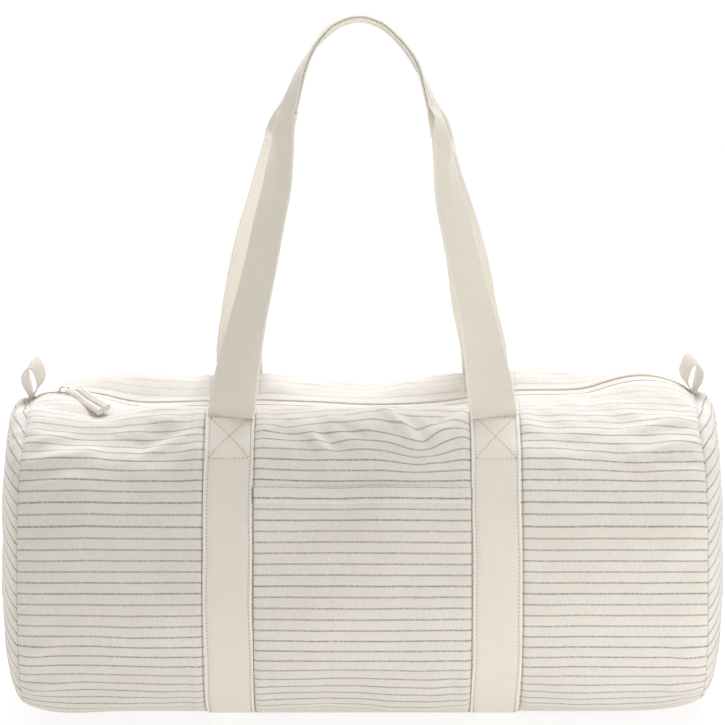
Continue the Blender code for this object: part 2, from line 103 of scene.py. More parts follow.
# The crown behind the zip and the shoulder in front of it, as (x, swelling)
BACK_CROWN = (
    (-0.265, -0.001), (-0.245, 0.001), (-0.2, 0.0072), (-0.14, 0.012), (-0.09, 0.011), (-0.05, 0.0085), (0, 0.006),
    (0.05, 0.0085), (0.1, 0.013), (0.14, 0.0148), (0.17, 0.0138), (0.19, 0.0122), (0.21, 0.008), (0.235, 0.0045),
    (0.25, 0.0015), (0.265, -0.001),
)
FRONT_SHOULDER = (
    (-0.265, -0.001), (-0.225, -0.007), (-0.18, -0.008), (-0.145, -0.0055), (-0.11, -0.001), (-0.06, 0.0022),
    (0, 0.0028), (0.06, 0.0018), (0.1, 0), (0.17, -0.0016), (0.225, -0.001), (0.265, -0.001),
)
# Soft folds on the front, as (x, z) to (x, z), their width and their height
FOLDS = (
    (-0.262, 0.205, -0.19, 0.223, 0.005, 0.0022), (-0.262, 0.188, -0.208, 0.2, 0.0045, 0.0018),
    (-0.262, 0.222, -0.215, 0.232, 0.004, 0.0014), (-0.172, 0.213, -0.124, 0.233, 0.0055, 0.0022),
    (-0.18, 0.196, -0.13, 0.207, 0.006, 0.0012), (0.262, 0.224, 0.19, 0.206, 0.005, 0.002),
    (0.262, 0.207, 0.215, 0.214, 0.0045, -0.0018), (0.262, 0.236, 0.195, 0.228, 0.0045, 0.0016),
    (0.19, 0.231, 0.135, 0.224, 0.006, 0.0014), (0.165, 0.188, 0.225, 0.176, 0.007, -0.001),
    (-0.042, 0.226, -0.02, 0.206, 0.0042, 0.0022), (-0.02, 0.231, 0.012, 0.218, 0.0045, -0.0016),
    (0.01, 0.24, 0.048, 0.215, 0.0045, 0.0028), (0.046, 0.213, 0.064, 0.197, 0.0045, 0.0016),
    (0.04, 0.234, 0.054, 0.208, 0.0055, -0.002), (0.056, 0.222, 0.084, 0.239, 0.0055, 0.0026),
    (-0.082, 0.226, -0.05, 0.236, 0.0045, 0.0012), (-0.255, 0.15, -0.215, 0.139, 0.007, 0.001),
    (0.258, 0.15, 0.225, 0.136, 0.007, 0.001), (-0.262, 0.06, -0.225, 0.082, 0.0055, 0.0014),
    (0.262, 0.055, 0.228, 0.08, 0.0055, 0.0014), (-0.262, 0.03, -0.22, 0.044, 0.0055, 0.0016),
    (0.262, 0.028, 0.222, 0.042, 0.0055, 0.0016),
)

# Where the slack cloth between the straps has slid down or up, as (x, z, widths along x and s, by how much)
SLACK = (
    (0.044, 0.219, 0.019, 0.017, -0.0085), (0.03, 0.226, 0.026, 0.016, -0.0035),
    (-0.056, 0.231, 0.015, 0.012, -0.005), (-0.027, 0.221, 0.013, 0.011, -0.003), (0.008, 0.236, 0.014, 0.012, 0.004),
    (0.076, 0.226, 0.014, 0.016, 0.003), (-0.215, 0.215, 0.03, 0.018, 0.0024), (0.215, 0.214, 0.028, 0.018, -0.0026),
    (0.15, 0.222, 0.03, 0.016, 0.0022),
)

STRIPE_PITCH = 0.00835
STITCH = 0.003
COIL_PITCH = 0.0013

# Linear colours
CANVAS_LIGHT = (0.736, 0.69, 0.615)
CANVAS_DARK = (0.672, 0.627, 0.55)
STRAP_LIGHT = (0.751, 0.7, 0.614)
STRAP_DARK = (0.705, 0.653, 0.567)
STRIPE_LILAC = (0.3, 0.245, 0.268)
STRIPE_BLUE = (0.255, 0.243, 0.262)
TAPE_LIGHT = (0.8, 0.755, 0.665)
TAPE_DARK = (0.74, 0.685, 0.58)
TAN = (0.47, 0.36, 0.215)
WHITE = (1, 1, 1, 1)
FLOOR_GREY = (0.3, 0.3, 0.3, 1)
TAN_WORN = (0.6345, 0.486, 0.29025)
THREAD = (0.44, 0.38, 0.3)
THREAD_DARK = (0.3608, 0.3116, 0.246)
HANDLE_LIGHT = (0.79, 0.738, 0.645)
HANDLE_DARK = (0.742, 0.688, 0.596)
# Painted shadow: dark lines painted on the cloth just outside the straps' edges
PAINTED_SHADOW_DARK = (0.17, 0.14, 0.12)
# Painted highlight on the fold at the pocket's mouth
PAINTED_FOLD_HIGHLIGHT = (0.95, 0.92, 0.87)
# Painted highlight along the edges of the straps, handles and puller
PAINTED_EDGE_HIGHLIGHT = (0.9, 0.86, 0.78)
SEED_BROWN = (0.16, 0.105, 0.06)
NICKEL_LIGHT = (0.66, 0.65, 0.63)
NICKEL_DARK = (0.5, 0.49, 0.47)


# ---- numbers


def smooth(points, count):
    """This many evenly spaced points on a Catmull-Rom curve through the given ones."""
    p = np.asarray(points, float)
    p = np.vstack([2 * p[0] - p[1], p, 2 * p[-1] - p[-2]])
    t = np.linspace(0, 1, 25)[:-1, None]
    spans = []
    for a, b, c, d in zip(p, p[1:], p[2:], p[3:]):
        bend = (2 * a - 5 * b + 4 * c - d) * t**2 + (3 * b - a - 3 * c + d) * t**3
        spans.append((2 * b + (c - a) * t + bend) / 2)
    fine = np.vstack([*spans, p[-2]])
    length = lengths(fine)
    return at_lengths(fine, length, np.linspace(0, length[-1], count))


def blurred(values, span):
    """Values along a line, smoothed over this odd number of them."""
    window = np.hanning(span) / np.hanning(span).sum()
    return np.convolve(np.pad(values, span // 2, "edge"), window, "valid")


def curve_at(rows, x):
    """The value at x on a smooth curve through (x, value) rows."""
    curve = smooth(rows, 300)
    return np.interp(x, curve[:, 0], curve[:, 1])


def spread(*values):
    """These numbers or arrays side by side, along a new last axis."""
    return np.stack(np.broadcast_arrays(*values), axis=-1)


def lengths(points):
    """How far along a path each of its points lies."""
    return np.concatenate([[0.0], np.cumsum(np.linalg.norm(np.diff(points, axis=0), axis=1))])


def at_lengths(points, length, want):
    """The points of a path at these lengths along it."""
    return np.stack([np.interp(want, length, axis) for axis in points.T], axis=1)


def ease(t):
    t = np.clip(t, 0, 1)
    return t * t * (3 - 2 * t)


def bump(distance, width):
    return np.exp(-((distance / width) ** 2))


def unit(vectors):
    return vectors / np.linalg.norm(vectors, axis=-1, keepdims=True)


def waves(x, s, wavelength, seed, count=22):
    """Smooth noise of about unit size: a seeded sum of plane waves near this wavelength."""
    random = np.random.default_rng(seed)
    total = np.zeros(np.broadcast(x, s).shape)
    for _ in range(count):
        angle, phase = random.uniform(0, 2 * math.pi, 2)
        rate = 2 * math.pi / (wavelength * random.uniform(0.7, 1.5))
        total += np.sin(rate * (x * math.cos(angle) + s * math.sin(angle)) + phase)
    return total / math.sqrt(count / 2)


# ---- the slumped surface

HALF_SECTION = smooth(OUTLINE, 401)
SECTION = np.vstack([HALF_SECTION * (-1, 1), HALF_SECTION[-2::-1]])
SECTION_S = lengths(SECTION)
GIRTH = SECTION_S[-1]
SECTION_ALONG = unit(np.gradient(SECTION, axis=0))
SECTION_OUT = np.stack([SECTION_ALONG[:, 1], -SECTION_ALONG[:, 0]], axis=1)


def section_out(s):
    """The plain outline's normal at s, as its y and its z."""
    return [np.interp(s, SECTION_S, part) for part in SECTION_OUT.T]


def front_s(z):
    """The distance round the bag to this height on its front."""
    front = len(HALF_SECTION)
    return np.interp(-z, -SECTION[:front, 1], SECTION_S[:front])


HINGE_S = float(np.interp(HINGE[1], HALF_SECTION[:, 0][:200], SECTION_S[:200]))
BASE_S = (float(front_s(0.015)), GIRTH - float(front_s(0.015)))
LOW_S = float(front_s(0.009))
STRAP_TOP_S = float(front_s(STRAP_HIGH.z))
POCKET_MOUTH_S = float(front_s(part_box("front_pocket")[1].z + 0.0006)) + 0.0050
POCKET_DYED = 0.0048


def both_sides(s, at, width):
    """A bump at this distance round the bag from either edge of the zip."""
    return np.maximum(bump(s - at, width), bump(GIRTH - s - at, width))


def swelling(x, s):
    """How far the cloth stands proud of the plain outline."""
    back = GIRTH - s
    hinge = 1 - both_sides(s, HINGE_S, 0.022) * bump(abs(x) - STRAP_X, 0.024)
    out = curve_at(FRONT_SHOULDER, x) * bump(s - 0.08, 0.026) * hinge
    out += curve_at(BACK_CROWN, x) * bump(back - 0.042, 0.027) * hinge
    out += 0.6 * curve_at(FRONT_SHOULDER, -x) * bump(back - 0.085, 0.026) * hinge
    on_base = ease((s - BASE_S[0]) / 0.03) * ease((BASE_S[1] - s) / 0.03)
    free = 1 - on_base
    calm = 1 - 0.75 * bump(abs(x) - STRAP_X, 0.017)
    upper = both_sides(s, 0.06, 0.05)
    out += free * calm * (0.0011 * waves(x, s, 0.115, 3) + (0.00022 + 0.0003 * upper) * waves(x, s, 0.034, 5))
    out += free * calm * 0.0005 * np.clip(waves(x * 0.55, s * 1.6, 0.026, 8), 0, 2) * upper
    for x0, z0, x1, z1, width, height in FOLDS:
        s0, s1 = front_s(z0), front_s(z1)
        run = math.hypot(x1 - x0, s1 - s0)
        along = ((x - x0) * (x1 - x0) + (s - s0) * (s1 - s0)) / run
        side = ((x - x0) * (s1 - s0) - (s - s0) * (x1 - x0)) / run
        fade = ease(along / (0.3 * run) + 0.35) * ease((run - along) / (0.5 * run))
        out += height * fade * (bump(side, width) - 0.45 * bump(side - 2 * width, 1.4 * width))
    # The slumped cloth under the puller
    out -= 0.008 * bump(x + 0.207, 0.024) * bump(s - 0.042, 0.022)
    # The bottom edge is rounder in the middle than at the left end
    low = ease((x + 0.245) / 0.06)
    out -= 0.0042 * low * both_sides(s, LOW_S, 0.03)
    # Beside a strap the cloth dips into its stitched edge and then swells
    beside = abs(abs(x) - STRAP_X) - STRAP_WIDTH / 2
    out += free * (0.0007 * bump(beside - 0.0065, 0.0045) - 0.0011 * bump(beside - 0.001, 0.0009) * (beside > 0.0001))
    # Between the straps and the ends the filled cloth swells, and it turns in sharply at the end seams
    out += 0.0012 * free * (1 - bump(abs(x) - STRAP_X, 0.028)) * ease((SEAM_X - abs(x)) / 0.03)
    out -= 0.0026 * np.exp(-(SEAM_X - abs(x)) / 0.0032)
    pucker = np.sin(2 * math.pi * s / 0.0115 + 1.6 * waves(x * 0, s, 0.05, 12))
    out += 0.00042 * pucker * np.exp(-(SEAM_X - abs(x)) / 0.01)
    return out


def dyed_at(x, s):
    """Where round the cut cloth the spot at x and s is: the stripes run along this."""
    lower = ease((s - front_s(0.195)) / 0.055)
    slid = sum(amount * bump(x - x0, wide) * bump(s - front_s(z0), long) for x0, z0, wide, long, amount in SLACK)
    return s + 0.0028 - 0.0038 * lower + slid


def zip_height(x, y):
    """The height of the zip's tapes, which sag with the cloth and rise towards the back panel's edge."""
    share = np.clip((y + 0.001) / (ZIP_EDGE + 0.001), 0.0, 1.0)
    under = 0.0014 * ease((abs(y) - ZIP_EDGE - 0.0001) / 0.0008) + 0.0006 * bump(x - JOINT_AT["pull_lift"][0], 0.01)
    return TAPE_TOP + 0.0018 + curve_at(ZIP_SAG, x) + curve_at(BACK_LIP, x) * share - under


def surface(x, s, lift=0.0):
    """Points of the cloth at x and s, lifted this far off its outer face."""
    x, s, lift = np.broadcast_arrays(x, s, lift)
    back = GIRTH - s
    proud = swelling(x, s) * ease(np.minimum(s, back) / 0.02 + 0.15) + lift
    out_y, out_z = section_out(s)
    y = np.interp(s, SECTION_S, SECTION[:, 0]) + proud * out_y
    z = np.interp(s, SECTION_S, SECTION[:, 1]) + proud * out_z
    # The end seams lean out at the zip and are drawn in at the shoulders
    near = np.exp(-(((SEAM_X - abs(x)) / 0.02) ** 2)) * np.sign(x)
    around = np.minimum(s, back)
    x = x + near * (0.0018 * bump(around, 0.014) - 0.0026 * bump(around - 0.075, 0.035))
    sag = curve_at(ZIP_SAG, x)
    z = z + sag * ease(1 - s / 0.06) + (sag + curve_at(BACK_LIP, x)) * ease(1 - back / 0.06)
    # The bottom corners lift where the end seams pull them up
    low = ease((0.05 - z) / 0.05)
    z = z + 0.0075 * low * np.exp(-((np.maximum(SEAM_X - abs(x), 0) / 0.022) ** 1.3))
    return spread(x, y, np.maximum(z, 0.0003))


def surface_out(x, s):
    """The unit normals of the cloth, facing out."""
    step = 0.0008
    across = surface(x + step, s) - surface(x - step, s)
    along = surface(x, np.clip(s + step, 0, GIRTH)) - surface(x, np.clip(s - step, 0, GIRTH))
    return unit(np.cross(along, across))


# ---- meshes


def grid_part(grid, uv, wrap=False, caps=False, flip=False):
    """(points, faces, uv of each corner) of a grid of points; wrap joins its last column to its first."""
    rows, columns = grid.shape[:2]
    last = columns if wrap else columns - 1
    r, c = (a.ravel() for a in np.meshgrid(np.arange(rows - 1), np.arange(last), indexing="ij"))
    corners = ((r, c), (r, c + 1), (r + 1, c + 1), (r + 1, c))
    faces = np.stack([a * columns + b % columns for a, b in corners], axis=1)
    spots = np.stack([uv[a, b] for a, b in corners], axis=1)
    if flip:
        faces, spots = faces[:, ::-1], spots[:, ::-1]
    faces = faces.tolist()
    spots = spots.reshape(-1, 2).tolist()
    if caps:
        for row in (0, rows - 1):
            ring = [row * columns + k for k in range(columns)]
            if (row == 0) != flip:
                ring = ring[::-1]
            faces.append(ring)
            spots += [list(uv[row, k % columns]) for k in ring]
    return grid.reshape(-1, 3), faces, spots


def no_uv(faces):
    return [[0.0, 0.0]] * sum(len(face) for face in faces)


def circle(count):
    angles = 2 * math.pi * np.arange(count) / count
    return np.cos(angles), np.sin(angles)


def rings(side, rise, across, up):
    """Rings for a path's points, from how far each corner lies along side and rise."""
    return across[..., None] * side[:, None] + up[..., None] * rise[:, None]


def tube_part(path, radius, sides=10, closed=False, guide=(0.03, 0.02, 1.0)):
    """A round tube along a path of points."""
    if closed:
        along = unit(np.roll(path, -1, axis=0) - np.roll(path, 1, axis=0))
    else:
        along = unit(np.gradient(path, axis=0))
    side = unit(np.cross(along, np.array(guide)))
    grid = path[:, None] + radius * rings(side, np.cross(side, along), *circle(sides))
    if closed:
        grid = np.concatenate([grid, grid[:1]])
    return grid_part(grid, np.zeros((len(grid), sides + 1, 2)), wrap=True, caps=not closed)


def stitch_part(path, out, pitch=STITCH, length=0.0016, radius=0.0003):
    """A row of thread stitches along a path of points, each lying half sunk in the cloth that faces out."""
    run = lengths(path)
    count = max(int(run[-1] / pitch), 1)
    middle = (np.arange(count) + 0.5) * run[-1] / count
    centre = at_lengths(path, run, middle)
    along = unit(at_lengths(path, run, middle + length / 2) - at_lengths(path, run, middle - length / 2))
    face = unit(at_lengths(out, run, middle))
    side = unit(np.cross(along, face))
    face = np.cross(side, along)
    sides = 5
    ring = rings(side, face, *circle(sides)) * radius
    centre = centre + face * radius * 0.35
    loops = [(centre + along * length * place)[:, None] + ring for place in (-0.34, 0.34)]
    tips = [(centre + along * length * place - face * radius * 0.9)[:, None] for place in (-0.5, 0.5)]
    points = np.concatenate([tips[0], *loops, tips[1]], axis=1)
    single = []
    for k in range(sides):
        a, b = 1 + k, 1 + (k + 1) % sides
        single += [(0, b, a, a), (a, b, b + sides, a + sides), (2 * sides + 1, a + sides, b + sides, b + sides)]
    per = 2 * sides + 2
    faces = [[base + k for k in dict.fromkeys(corners)] for base in range(0, count * per, per) for corners in single]
    return points.reshape(-1, 3), faces, no_uv(faces)


def placed(name, data):
    made = bpy.data.objects.new(name, data)
    bpy.context.scene.collection.objects.link(made)
    return made


def piece(name, parts, material, body, replaces=(), thickness=0.0, sharp=40.0):
    """One object from these parts, riding on a body. With a thickness it is a shell whose outer face is the grid."""
    points, faces, spots = [], [], []
    start = 0
    for part_points, part_faces, part_spots in parts:
        points.append(part_points)
        faces += [[start + k for k in face] for face in part_faces]
        spots += part_spots
        start += len(part_points)
    mesh = bpy.data.meshes.new(name)
    mesh.from_pydata(np.vstack(points).tolist(), [], faces)
    layer = mesh.uv_layers.new(name="Cloth")
    layer.data.foreach_set("uv", np.asarray(spots, np.float32).ravel())
    mesh.shade_smooth()
    mesh.set_sharp_from_angle(angle=math.radians(sharp))
    mesh.materials.append(material)
    made = placed(name, mesh)
    if thickness:
        shell = made.modifiers.new("thickness", "SOLIDIFY")
        shell.thickness = thickness
        shell.offset = -1
    if body:
        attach(made, body)
    if replaces:
        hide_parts(*replaces)
    return made


# ---- materials


class Nodes:
    """Short calls for building a node tree."""

    def __init__(self, tree):
        self.tree = tree

    def put(self, socket, value):
        if isinstance(value, bpy.types.NodeSocket):
            self.tree.links.new(value, socket)
        else:
            socket.default_value = value

    def fill(self, node, inputs):
        for key, value in inputs.items():
            self.put(node.inputs[key], value)

    def add(self, kind, inputs=None, **settings):
        made = self.tree.nodes.new("ShaderNode" + kind)
        for key, value in settings.items():
            setattr(made, key, value)
        self.fill(made, inputs or {})
        return made

    def calc(self, operation, *values, **settings):
        return self.add("Math", dict(enumerate(values)), operation=operation, **settings).outputs[0]

    def times(self, a, b):
        return self.calc("MULTIPLY", a, b)

    def apart(self, a, b):
        return self.calc("ABSOLUTE", self.calc("SUBTRACT", a, b))

    def ramp(self, value, low, high, at_low=0.0, at_high=1.0):
        inputs = {"Value": value, "From Min": low, "From Max": high, "To Min": at_low, "To Max": at_high}
        return self.add("MapRange", inputs, interpolation_type="SMOOTHSTEP").outputs["Result"]

    def mix(self, share, a, b):
        a, b = (c if isinstance(c, bpy.types.NodeSocket) else (*c, 1.0) for c in (a, b))
        return self.add("Mix", {0: share, 6: a, 7: b}, data_type="RGBA").outputs[2]

    def noise(self, x, y, rates, z=0.0, detail=2.0):
        """Noise that changes this many times a metre along x and along y."""
        where = self.add("CombineXYZ", {"X": self.times(x, rates[0]), "Y": self.times(y, rates[1]), "Z": z})
        return self.add("TexNoise", {"Vector": where.outputs[0], "Scale": 1.0, "Detail": detail}).outputs["Fac"]

    def relief(self, height, strength, distance):
        return self.add("Bump", {"Height": height, "Strength": strength, "Distance": distance}).outputs[0]


class Shading(Nodes):
    """A new material and its shader."""

    def __init__(self, name):
        self.material = bpy.data.materials.new(name)
        self.material.use_nodes = True
        super().__init__(self.material.node_tree)
        self.shader = self.tree.nodes["Principled BSDF"]


def woven(name, light, dark, thread=0.00055, stripes=False, translucent=0.0, glow=0.0, edge=0.0, painted_shadow=False,
          fold=None, flecks=0.25, bump_height=0.00016):
    """Cotton cloth: a plain weave with uneven yarns and seed flecks.

    stripes: thin dyed stripes along u, "fainter_near_zip" for stripes that grow fainter towards the zip; translucent:
    the share of light let through, and glow: how white it comes; edge: v of the edges with a painted highlight;
    painted_shadow: painted shadow lines beside the straps; fold: v of a fold with a painted highlight.
    """
    m = Shading(name)
    uv = m.add("SeparateXYZ", {0: m.add("UVMap", uv_map="Cloth").outputs[0]})
    u, v = uv.outputs[0], uv.outputs[1]
    weave = m.times(*(m.calc("SINE", m.times(way, math.pi / thread)) for way in (u, v)))
    slub = m.calc("ADD", m.noise(u, v, (240, 1500), detail=3.0), m.noise(u, v, (1500, 240), 3.7, detail=3.0))
    patch = m.noise(u, v, (22, 22), 1.3, detail=4.0)
    shade = m.calc("MULTIPLY_ADD", weave, 0.05, m.calc("ADD", m.times(slub, 0.85), m.times(patch, 0.55)))
    colour = m.mix(m.ramp(shade, 0.84, 1.41), light, dark)
    from_zip = m.calc("MINIMUM", v, m.calc("SUBTRACT", float(GIRTH), v))
    if stripes:
        wobble = m.calc("SUBTRACT", m.noise(u, v, (26, 9), 5.1), 0.5)
        turns = m.calc("DIVIDE", m.calc("MULTIPLY_ADD", wobble, 0.0013, v), STRIPE_PITCH)
        stripe = m.ramp(m.apart(m.calc("FRACT", turns), 0.5), 0.062, 0.1, 1.0, 0.0)
        number = m.calc("FLOOR", turns)
        each = m.add("TexWhiteNoise", {"W": number}, noise_dimensions="1D").outputs["Value"]
        broken = m.noise(u, number, (620, 17), 2.2, detail=3.0)
        long = m.noise(u, number, (18, 3.7), 8.1)
        strength = m.times(m.ramp(broken, 0.32, 0.6, 0.46, 0.9), m.ramp(each, 0.0, 1.0, 0.8, 1.0))
        tint = m.mix(m.ramp(m.calc("MULTIPLY_ADD", each, 0.25, long), 0.45, 0.75), STRIPE_LILAC, STRIPE_BLUE)
        # The stripes grow fainter towards the zip
        if stripes == "fainter_near_zip":
            strength = m.times(strength, m.ramp(from_zip, 0.03, 0.1, 0.36, 1.0))
        colour = m.mix(m.times(stripe, strength), colour, tint)
    # Painted shadow: dark lines just outside the straps' edges, from the straps' tops down
    if painted_shadow:
        off = m.apart(m.apart(m.calc("ABSOLUTE", u), STRAP_X), STRAP_WIDTH / 2 + 0.0006)
        below = m.ramp(from_zip, STRAP_TOP_S, STRAP_TOP_S + 0.004)
        colour = m.mix(m.times(m.ramp(off, 0.0003, 0.0009, 0.62, 0.0), below), colour, PAINTED_SHADOW_DARK)
    # Painted highlight along the folded mouth edge, about a millimetre wide
    if fold is not None:
        colour = m.mix(m.ramp(v, fold + 0.0003, fold + 0.001, 0.85, 0.0), colour, PAINTED_FOLD_HIGHLIGHT)
    # Painted highlight along both edges, over their last two millimetres
    if edge:
        colour = m.mix(m.ramp(m.calc("ABSOLUTE", v), edge - 0.0017, edge - 0.0009, 0.0, 0.65), colour, PAINTED_EDGE_HIGHLIGHT)
    if flecks:
        where = m.add("CombineXYZ", {"X": u, "Y": v})
        cells = m.add("TexVoronoi", {"Vector": where.outputs[0], "Scale": 120.0})
        chosen = m.ramp(m.add("SeparateColor", {0: cells.outputs["Color"]}).outputs[0], flecks - 0.01, flecks, 1.0, 0.0)
        colour = m.mix(m.times(m.ramp(cells.outputs["Distance"], 0.02, 0.055, 0.75, 0.0), chosen), colour, SEED_BROWN)
    height = m.calc("MULTIPLY_ADD", weave, 0.3, m.times(slub, 0.9))
    m.fill(m.shader, {
        "Base Color": colour, "Roughness": m.ramp(slub, 0.7, 1.3, 0.82, 0.95),
        "Normal": m.relief(height, 0.7, bump_height),
        "Specular IOR Level": 0.25, "Sheen Weight": 0.12, "Sheen Roughness": 0.5,
    })
    if translucent:
        through = [min(c * 1.3, 0.95) * (1 - glow) + 0.95 * glow for c in light]
        behind = m.add("BsdfTranslucent", {"Color": (*through, 1.0)})
        both = m.add("MixShader", {0: translucent, 1: m.shader.outputs[0], 2: behind.outputs[0]})
        m.fill(m.tree.nodes["Material Output"], {"Surface": both.outputs[0]})
    return m.material


def grained(name, colours, roughness, relief, grain, tint=None, metallic=0.0):
    """A solid material with a fine grain in its colour, its roughness and its relief."""
    m = Shading(name)
    where = m.add("TexCoord").outputs["Object"]
    grain, tint = (m.add(kind, {"Vector": where, **inputs}).outputs["Fac"] for kind, inputs in (grain, tint or grain))
    if isinstance(roughness, tuple):
        roughness = m.ramp(grain, 0.3, 0.7, *roughness)
    m.fill(m.shader, {"Base Color": m.mix(tint, *colours), "Roughness": roughness, "Metallic": metallic,
                      "Normal": m.relief(grain, relief, 0.0001)})
    return m.material


# The body and the pocket get painted shadow lines beside the straps
BODY = woven("body_canvas", CANVAS_LIGHT, CANVAS_DARK, stripes="fainter_near_zip", painted_shadow=True)
STRIPED = woven("striped_canvas", CANVAS_LIGHT, CANVAS_DARK, stripes=True)
# The pocket also gets a painted highlight along its folded mouth
POCKET = woven("pocket_canvas", CANVAS_LIGHT, CANVAS_DARK, stripes=True, painted_shadow=True,
               fold=POCKET_MOUTH_S + POCKET_DYED)
# The straps, handles and puller get a painted highlight along their edges
PLAIN = woven("plain_canvas", STRAP_LIGHT, STRAP_DARK, flecks=0.16, edge=STRAP_WIDTH / 2, bump_height=0.0001)
HANDLE = woven("handle_canvas", HANDLE_LIGHT, HANDLE_DARK, flecks=0.16, edge=STRAP_WIDTH / 2, translucent=0.17,
               bump_height=0.00005)
TAB = woven("tab_canvas", STRAP_LIGHT, STRAP_DARK, flecks=0.1, translucent=0.6, glow=0.7)
TAPE = woven("zip_tape", TAPE_LIGHT, TAPE_DARK, thread=0.0004, flecks=0.0)
BINDING = woven("binding_twill", TAPE_LIGHT, TAPE_DARK, thread=0.0004, flecks=0.0)
COTTON_THREAD = grained("thread", (THREAD, THREAD_DARK), 0.75, 0.5, ("TexWave", {"Scale": 900, "Distortion": 1}))
NYLON = grained("coil_nylon", (TAN, TAN_WORN), (0.35, 0.55), 0.3, ("TexNoise", {"Scale": 160, "Detail": 3}))
NICKEL = grained("nickel", (NICKEL_LIGHT, NICKEL_DARK), (0.22, 0.42), 0.25, ("TexNoise", {"Scale": 900, "Detail": 4}),
                 tint=("TexNoise", {"Scale": 260, "Detail": 2}), metallic=1.0)


# ---- body, ends and pocket


def body_columns():
    """x of the columns: close together at the end seams, where the cloth turns in."""
    side = SEAM_X - 0.028 * (1 - np.linspace(0, 1, 17)) ** 1.6
    edges = [k * STRAP_X + m * STRAP_WIDTH / 2 for k in (-1, 1) for m in (-1, 1)]
    fine = np.concatenate([edge + np.arange(-5, 6) * 0.0006 for edge in edges])
    middle = np.linspace(-(SEAM_X - 0.028), SEAM_X - 0.028, 241)[1:-1]
    middle = middle[np.min(abs(middle[:, None] - fine[None, :]), axis=1) > 0.0005]
    return np.concatenate([-side[::-1], np.sort(np.concatenate([middle, fine])), side])


def make_body():
    x = body_columns()[None, :]
    s = np.concatenate([[-TURNED_DOWN], np.linspace(0, GIRTH, 381), [GIRTH + TURNED_DOWN]])[:, None]
    # The cloth turns down at the zip's edges
    grid = surface(x, np.clip(s, 0, GIRTH), np.where((s < 0) | (s > GIRTH), -TURNED_DOWN, 0.0))
    part = grid_part(grid, spread(x, dyed_at(x, s)))
    body = piece("body_cloth", [part], BODY, "bag", ["body_panel"], thickness=CANVAS)


def make_end(side, word):
    """A bulging end, as rings that shrink from its seam to its middle."""
    rim = surface(side * SEAM_X, np.linspace(0, GIRTH, 230))
    # The rim closes across the end of the zip
    rim = np.vstack([rim, np.linspace(rim[-1], rim[0], 6)[1:-1]])
    rings = 46
    around = 2 * math.pi * np.arange(len(rim)) / len(rim)
    pucker = np.sin(around * 61 + 2 * np.sin(around * 6))
    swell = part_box("end_panel_right")[1].x - SEAM_X - 0.0006
    fullness = 0.6 - 0.38 * ease((rim[:, 2] - 0.165) / 0.065)
    rows, bulges = [], []
    for k in range(rings + 1):
        scale = 1 - (k / rings) ** 1.5
        x = swell * (1 - scale * scale) ** fullness
        x = x + 0.011 * math.exp(-(1 - scale) / 0.1) * (1 - scale) * pucker
        y = rim[:, 1] * scale
        z = MIDDLE_Z + (rim[:, 2] - MIDDLE_Z) * scale
        x = x + 0.0012 * waves(y, z, 0.07, 21) * (1 - scale) + 0.0003 * waves(y, z, 0.02, 22) * (1 - scale)
        x = np.maximum(x, 0.00035)
        base = side * SEAM_X + (rim[:, 0] - side * SEAM_X) * ease(scale / 0.7)
        rows.append(spread(base + side * x, y, z))
        bulges.append(np.append(x, x[0]))
    grid = np.stack(rows)
    grid = np.concatenate([grid, grid[:, :1]], axis=1)
    # The cut stripes climb where the cloth bulges away from the seam
    uv = spread(grid[..., 1], grid[..., 2] * 0.86 + 0.0021 - 0.85 * np.stack(bulges))
    part = grid_part(grid, uv, flip=side > 0)
    panel = piece("end_cloth_" + word, [part], STRIPED, "bag", ["end_panel_" + word],
                  thickness=CANVAS)
    panel.modifiers.new("weld", "WELD").merge_threshold = WELD
    panel.modifiers.move(1, 0)


POCKET_HALF = STRAP_X - STRAP_WIDTH / 2 - 0.0003
POCKET_FOOT_S = float(np.interp(-0.06, SECTION[200:500, 0], SECTION_S[200:500]))
HEM = 0.0118


def pocket_lift(x, s):
    """How far the pocket's outer face stands off the body: snug at its sides and foot, and open at the mouth."""
    mouth = 1 - ease((s - POCKET_MOUTH_S) / 0.06)
    middle = ease((POCKET_HALF - abs(x)) / 0.03)
    sway = 0.6 + 0.25 * np.sin(x * 38 + 0.7) + 0.15 * np.sin(x * 91)
    return 0.0012 + 0.0017 * mouth * middle * sway


def make_pocket():
    x = np.linspace(-POCKET_HALF, POCKET_HALF, 121)
    s = np.concatenate([[0.0, 0.0003, 0.001], np.linspace(0.002, HEM - 0.0006, 9), [HEM, HEM + 0.0006]])
    s = POCKET_MOUTH_S + np.concatenate([s, np.linspace(HEM + 0.002, POCKET_FOOT_S - POCKET_MOUTH_S, 110)])
    down = s[:, None] - POCKET_MOUTH_S
    hem = 0.0012 * ease((HEM + 0.0006 - down) / 0.0008) - 0.0011 * (1 - ease(down / 0.0014))
    lift = pocket_lift(x[None, :], s[:, None]) + hem - 0.0003 * bump(down - HEM + 0.0006, 0.0007)
    grid = surface(x[None, :], s[:, None], lift)
    grid[0] = surface(x, s[1], pocket_lift(x, s[1]) - 0.001)
    part = grid_part(grid, spread(x[None, :], s[:, None] + POCKET_DYED))
    pocket = piece("pocket_cloth", [part], POCKET, "bag", ["front_pocket"], thickness=CANVAS)
    row_s = POCKET_MOUTH_S + HEM - 0.0012
    across = np.linspace(-POCKET_HALF + 0.001, POCKET_HALF - 0.001, 60)
    path = surface(across, row_s, pocket_lift(across, row_s) + 0.0006)
    stitches = stitch_part(path, surface_out(across, np.full_like(across, row_s)))
    piece("stitches_pocket", [stitches], COTTON_THREAD, "bag")


# ---- straps and handles


